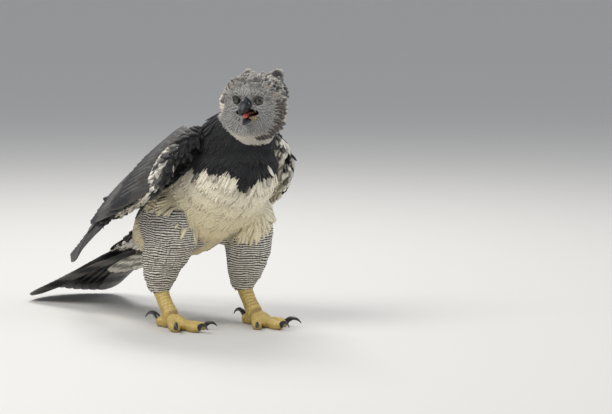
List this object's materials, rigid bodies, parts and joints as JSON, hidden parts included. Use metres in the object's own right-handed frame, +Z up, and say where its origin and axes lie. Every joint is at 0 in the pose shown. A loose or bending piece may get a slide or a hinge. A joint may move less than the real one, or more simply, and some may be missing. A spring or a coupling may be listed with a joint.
{
  "type": "harpy eagle",
  "caption": "Life-size adult harpy eagle standing low on both feet, wings folded, head turned to its right, hooked bill open.",
  "frame": {"origin": "on the floor, at the middle of the bird's bounding box", "axes": "+Z up; the body faces -Y and the tail points to +Y; the bird's left side is +X"},
  "size_m": [0.3484, 0.7728, 0.4965],
  "materials": {
    "white_feather": "soft cream feathers",
    "slate_feather": "slate black feathers with pale edges",
    "grey_feather": "soft grey feathers",
    "barred_feather": "white feathers with fine black bars",
    "horn": "black horn, glossy",
    "yellow_scale": "dull yellow scaled skin",
    "iris": "wet glossy eye",
    "tongue": "moist red flesh"
  },
  "bodies": {
    "root": {"torso": "white_feather", "neck": "slate_feather", "head": "grey_feather", "bill_upper": "horn", "bill_lower": "horn", "tongue": "tongue", "eye_left": "iris", "eye_right": "iris", "wing_left": "slate_feather", "wing_right": "slate_feather", "tail": "slate_feather", "thigh_left": "barred_feather", "thigh_right": "barred_feather", "foot_left": "yellow_scale", "foot_right": "yellow_scale", "claw_inner_left": "horn", "claw_middle_left": "horn", "claw_outer_left": "horn", "claw_hallux_left": "horn", "claw_inner_right": "horn", "claw_middle_right": "horn", "claw_outer_right": "horn", "claw_hallux_right": "horn"}
  },
  "joints": []
}
